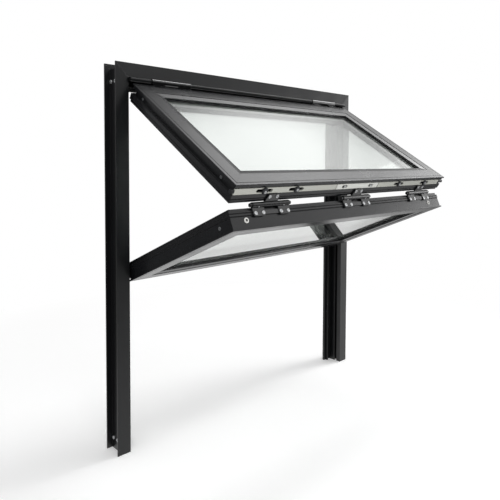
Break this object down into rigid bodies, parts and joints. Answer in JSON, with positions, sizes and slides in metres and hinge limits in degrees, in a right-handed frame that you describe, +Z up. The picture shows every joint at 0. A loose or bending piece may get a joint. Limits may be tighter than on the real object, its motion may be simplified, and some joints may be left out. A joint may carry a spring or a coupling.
{
  "type": "vertical bi-fold service window",
  "caption": "Dark aluminium service window whose two glazed sashes fold up and outwards under the head on hinges, guided in the jambs, open above a counter.",
  "frame": {"origin": "middle of the flat back face of the head, where the frame is fastened to a wall", "axes": "+X to the right seen from outside, +Y towards the room inside, +Z up"},
  "size_m": [1, 0.4874, 1.05],
  "materials": {
    "frame_aluminium": "charcoal fine textured powder coat",
    "sash_aluminium": "charcoal fine textured powder coat",
    "glass": "clear float glass",
    "spacer_aluminium": "bare mill finish",
    "hinge_metal": "black satin powder coat",
    "lock_aluminium": "silver satin anodised",
    "stud_steel": "dark oiled steel",
    "seal_rubber": "black EPDM",
    "guide_plastic": "black acetal"
  },
  "bodies": {
    "root": {"left_jamb": "frame_aluminium", "right_jamb": "frame_aluminium", "head": "frame_aluminium", "head_nosing": "frame_aluminium", "left_stop_gasket": "seal_rubber", "right_stop_gasket": "seal_rubber", "head_seal": "seal_rubber", "upper_left_stile": "sash_aluminium", "upper_right_stile": "sash_aluminium", "upper_top_rail": "sash_aluminium", "upper_bottom_rail": "sash_aluminium", "upper_left_bead": "sash_aluminium", "upper_right_bead": "sash_aluminium", "upper_top_bead": "sash_aluminium", "upper_bottom_bead": "sash_aluminium", "upper_outer_pane": "glass", "upper_inner_pane": "glass", "upper_spacer": "spacer_aluminium", "lower_left_stile": "sash_aluminium", "lower_right_stile": "sash_aluminium", "lower_top_rail": "sash_aluminium", "lower_bottom_rail": "sash_aluminium", "lower_left_bead": "sash_aluminium", "lower_right_bead": "sash_aluminium", "lower_top_bead": "sash_aluminium", "lower_bottom_bead": "sash_aluminium", "lower_outer_pane": "glass", "lower_inner_pane": "glass", "lower_spacer": "spacer_aluminium", "left_head_hinge_frame_leaf": "hinge_metal", "left_head_hinge_sash_leaf": "hinge_metal", "left_guide_bracket": "hinge_metal", "right_head_hinge_frame_leaf": "hinge_metal", "right_head_hinge_sash_leaf": "hinge_metal", "right_guide_bracket": "hinge_metal", "left_meeting_hinge_upper_leaf": "hinge_metal", "left_meeting_hinge_lower_leaf": "hinge_metal", "lock_bar_left": "lock_aluminium", "centre_meeting_hinge_upper_leaf": "hinge_metal", "centre_meeting_hinge_lower_leaf": "hinge_metal", "lock_bar_centre": "lock_aluminium", "right_meeting_hinge_upper_leaf": "hinge_metal", "right_meeting_hinge_lower_leaf": "hinge_metal", "lock_bar_right": "lock_aluminium", "lock_studs": "lock_aluminium", "lock_cams": "stud_steel", "guide_rollers": "guide_plastic"}
  },
  "joints": []
}
